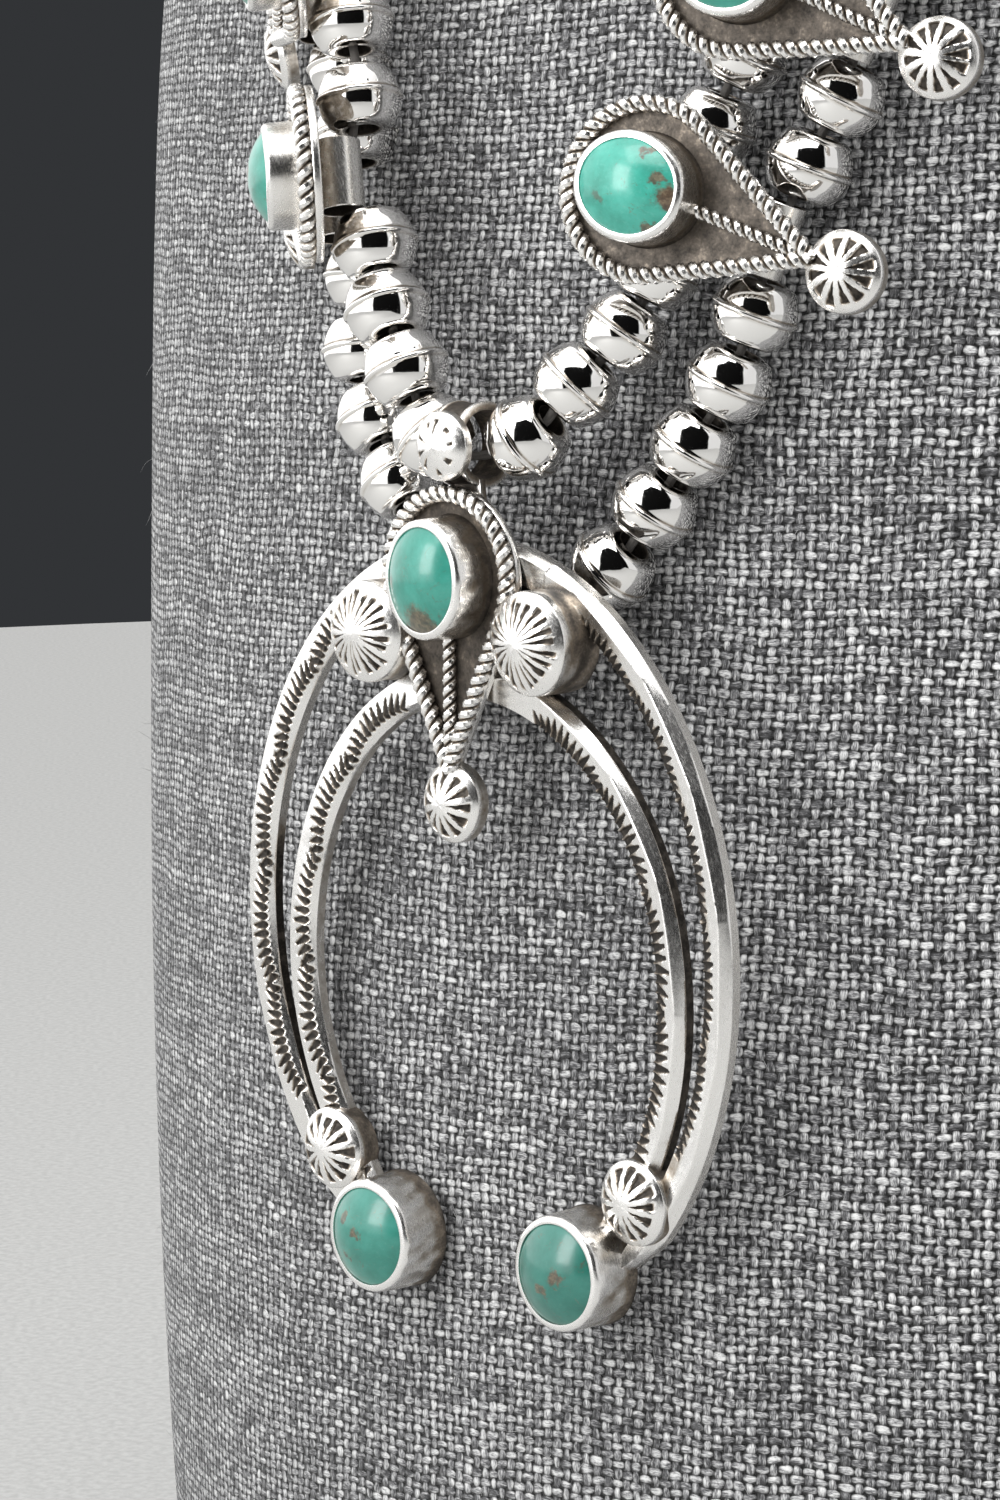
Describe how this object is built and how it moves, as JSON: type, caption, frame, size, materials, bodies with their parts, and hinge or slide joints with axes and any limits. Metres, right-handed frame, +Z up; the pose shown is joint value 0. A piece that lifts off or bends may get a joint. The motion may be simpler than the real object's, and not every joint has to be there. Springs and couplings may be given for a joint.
{
  "type": "squash blossom necklace on neck bust",
  "caption": "Silver and turquoise squash blossom necklace with double bead strands, teardrop blossoms and a double crescent pendant, worn on a cloth-covered neck bust.",
  "frame": {"origin": "centre of the bust's flat base, on the surface that it stands on", "axes": "+Z up along the neck, -Y towards the front, +X to the viewer's right when facing the front"},
  "size_m": [0.2, 0.136, 0.358],
  "materials": {
    "linen": "grey linen in a plain weave",
    "silver": "polished silver, darkened in its recesses",
    "turquoise": "polished turquoise with brown matrix",
    "thread": "plain dark cord"
  },
  "bodies": {
    "root": {"bust": "linen", "thread_inner": "thread", "thread_outer": "thread", "beads_inner_left": "silver", "beads_inner_right": "silver", "beads_outer_left": "silver", "beads_outer_right": "silver", "clasp": "silver", "naja": "silver", "naja_stone_center": "turquoise", "naja_stone_left": "turquoise", "naja_stone_right": "turquoise", "blossom_left_1": "silver", "blossom_left_2": "silver", "blossom_left_3": "silver", "blossom_left_4": "silver", "blossom_left_5": "silver", "blossom_right_1": "silver", "blossom_right_2": "silver", "blossom_right_3": "silver", "blossom_right_4": "silver", "blossom_right_5": "silver", "stone_left_1": "turquoise", "stone_left_2": "turquoise", "stone_left_3": "turquoise", "stone_left_4": "turquoise", "stone_left_5": "turquoise", "stone_right_1": "turquoise", "stone_right_2": "turquoise", "stone_right_3": "turquoise", "stone_right_4": "turquoise", "stone_right_5": "turquoise"}
  },
  "joints": []
}
